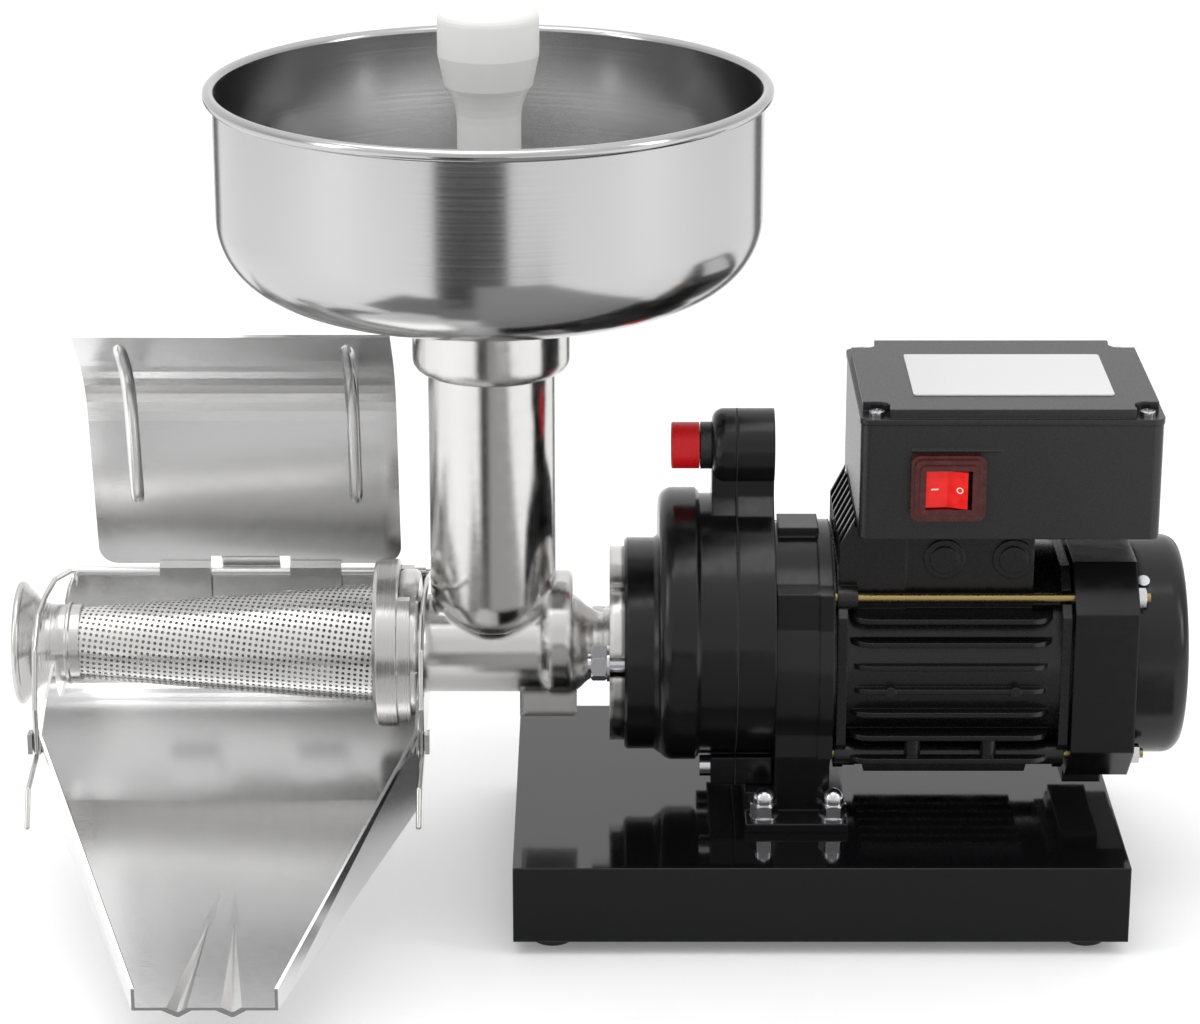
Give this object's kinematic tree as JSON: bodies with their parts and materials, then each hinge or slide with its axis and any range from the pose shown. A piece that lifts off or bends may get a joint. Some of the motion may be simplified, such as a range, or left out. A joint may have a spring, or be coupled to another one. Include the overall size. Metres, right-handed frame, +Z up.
{
  "type": "electric tomato strainer",
  "caption": "Geared motor on a black base turning a screw in a perforated cone under a steel hopper bowl, with a juice tray and a splash cover.",
  "frame": {"origin": "on the surface below the middle of the whole machine, at the bottom of the rubber feet", "axes": "+X along the machine line from the waste outlet to the fan, +Y to the back, +Z up"},
  "size_m": [0.491, 0.3, 0.376],
  "materials": {
    "black_paint": "semi-gloss black paint on aluminium castings",
    "label": "white film",
    "cowl_paint": "semi-gloss black paint on drawn sheet steel",
    "base_paint": "semi-gloss black powder coat on sheet steel",
    "stainless": "stainless sheet, bright satin",
    "cast_tinned": "tinned casting, bright and slightly rough",
    "zinc": "zinc-plated fasteners",
    "yellow_zinc": "yellow zinc-plated rods",
    "spring_steel": "drawn stainless wire",
    "white_plastic": "white food-grade plastic",
    "auger_plastic": "ivory food-grade plastic",
    "black_plastic": "black moulded plastic",
    "red_plastic": "bright red moulded plastic",
    "dark_red_rubber": "dark red translucent soft frame",
    "rubber": "black rubber",
    "seal_rubber": "brown nitrile seal",
    "gasket": "fibre gasket",
    "gear_steel": "oiled hardened steel",
    "bronze": "sintered bronze",
    "bearing_steel": "ground bearing steel",
    "laminations": "stacked electrical sheet",
    "copper": "enamelled copper windings",
    "case_white": "pale moulded plastic",
    "capacitor_can": "drawn aluminium can"
  },
  "bodies": {
    "frame": {"base_box": "base_paint", "rubber_feet": "rubber", "foot_screws": "zinc", "mount_bolts": "zinc", "mount_washers": "zinc", "acorn_nuts": "zinc", "feed_body": "cast_tinned", "flange_studs": "zinc", "flange_washers": "zinc", "flange_nuts": "zinc", "auger_bush": "white_plastic", "drip_tray": "stainless", "gearcase_front": "black_paint", "gearcase_rear": "black_paint", "gearcase_gasket": "gasket", "gearcase_screws": "zinc", "oil_collar": "black_plastic", "output_bearings": "bearing_steel", "output_seal": "seal_rubber", "layshaft_bushes": "bronze", "motor_bearings": "bearing_steel", "motor_seal": "seal_rubber", "front_end_shield": "black_paint", "motor_housing": "black_paint", "rear_end_shield": "black_paint", "stator_core": "laminations", "stator_windings": "copper", "tie_rods": "yellow_zinc", "tie_rod_nuts": "zinc", "fan_cowl": "cowl_paint", "cowl_screws": "zinc", "terminal_box": "black_plastic", "terminal_box_lid": "black_plastic", "lid_screws": "zinc", "rating_plate": "label", "terminal_block": "case_white", "capacitor": "capacitor_can", "switch_body": "black_plastic", "switch_boot": "dark_red_rubber", "cable_gland": "black_plastic"},
    "rotor": {"rotor_shaft": "gear_steel", "rotor_core": "laminations", "motor_pinion": "gear_steel", "cooling_fan": "black_plastic"},
    "layshaft": {"layshaft_pinion": "gear_steel", "layshaft_gear": "bronze"},
    "auger_drive": {"output_shaft": "gear_steel", "output_gear": "gear_steel", "auger": "auger_plastic"},
    "rocker": {"switch_rocker": "red_plastic"},
    "hopper": {"hopper_bowl": "stainless", "hopper_collar": "stainless"},
    "pusher": {"pusher": "white_plastic"},
    "strainer": {"strainer_cone": "stainless", "strainer_ring": "cast_tinned", "waste_outlet": "cast_tinned"},
    "bail": {"tray_bail": "spring_steel"},
    "cover": {"splash_cover": "stainless"},
    "oil_cap": {"oil_cap": "red_plastic"}
  },
  "joints": [
    {"name": "rotor_spin", "type": "hinge", "parent": "frame", "child": "rotor", "pos_m": [0.1362, 0.035, 0.1035], "axis": [1, 0, 0], "continuous": true},
    {"name": "layshaft_spin", "type": "hinge", "parent": "frame", "child": "layshaft", "pos_m": [0.0412, 0.035, 0.1335], "axis": [1, 0, 0], "continuous": true},
    {"name": "auger_spin", "type": "hinge", "parent": "frame", "child": "auger_drive", "pos_m": [0.0412, 0.035, 0.1035], "axis": [1, 0, 0], "continuous": true},
    {"name": "switch_press", "type": "hinge", "parent": "frame", "child": "rocker", "pos_m": [0.1403, -0.0139, 0.1904], "axis": [0, 0, 1], "range_deg": [0, 16]},
    {"name": "hopper_lift", "type": "slide", "parent": "frame", "child": "hopper", "axis": [0, 0, 1], "range_m": [0, 0.06]},
    {"name": "pusher_lift", "type": "slide", "parent": "frame", "child": "pusher", "axis": [0, 0, 1], "range_m": [0, 0.12]},
    {"name": "strainer_twist", "type": "hinge", "parent": "frame", "child": "strainer", "pos_m": [-0.0841, 0.035, 0.1035], "axis": [1, 0, 0], "range_deg": [0, 22]},
    {"name": "bail_swing", "type": "hinge", "parent": "frame", "child": "bail", "pos_m": [-0.15175, 0.0884, 0.116], "axis": [-1, 0, 0], "range_deg": [0, 60]},
    {"name": "cover_lift", "type": "slide", "parent": "frame", "child": "cover", "axis": [0, 0, 1], "range_m": [0, 0.018]},
    {"name": "oil_cap_pull", "type": "slide", "parent": "frame", "child": "oil_cap", "axis": [-1, 0, 0], "range_m": [0, 0.014]}
  ],
  "couplings": [
    {"joint": "layshaft_spin", "follows": "rotor_spin", "ratio": -0.25},
    {"joint": "auger_spin", "follows": "rotor_spin", "ratio": 0.076087}
  ]
}
